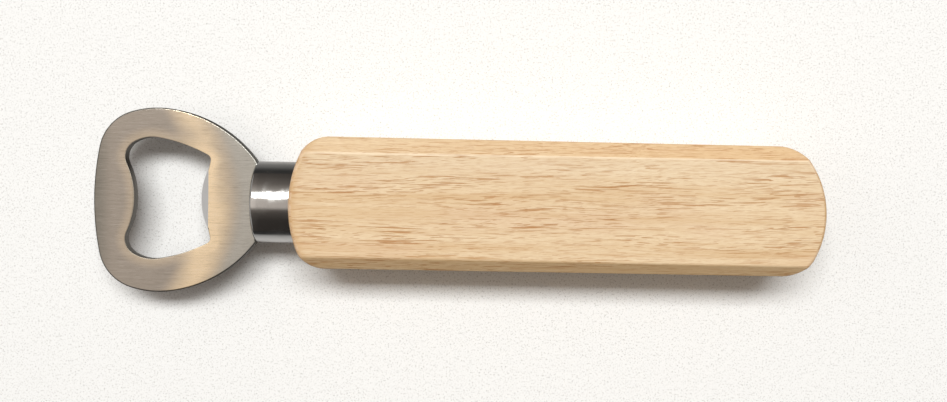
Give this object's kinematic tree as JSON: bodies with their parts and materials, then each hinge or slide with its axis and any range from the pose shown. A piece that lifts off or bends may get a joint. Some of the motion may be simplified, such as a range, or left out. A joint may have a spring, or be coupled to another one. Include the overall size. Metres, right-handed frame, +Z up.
{
  "type": "bottle opener",
  "caption": "Hand-held crown-cap opener: brushed steel head with a cap hole and lifting lip, polished ferrule, chamfered hardwood handle.",
  "frame": {"origin": "centre of the whole object's box, on the plane that the handle rests on", "axes": "+X from the head to the butt of the handle, +Y to the left of someone looking along +X, +Z up out of the wide face of the handle"},
  "size_m": [0.15, 0.0386, 0.02],
  "materials": {
    "brushed_head": "satin stainless, brushed along the length",
    "polished_ferrule": "mirror-polished stainless tube with fine turning lines",
    "pale_hardwood": "sanded pale rubberwood under a thin matt oil",
    "cured_epoxy": "amber two-part epoxy"
  },
  "bodies": {
    "root": {"opener_head": "brushed_head", "ferrule": "polished_ferrule", "handle": "pale_hardwood", "epoxy_fill": "cured_epoxy"}
  },
  "joints": []
}
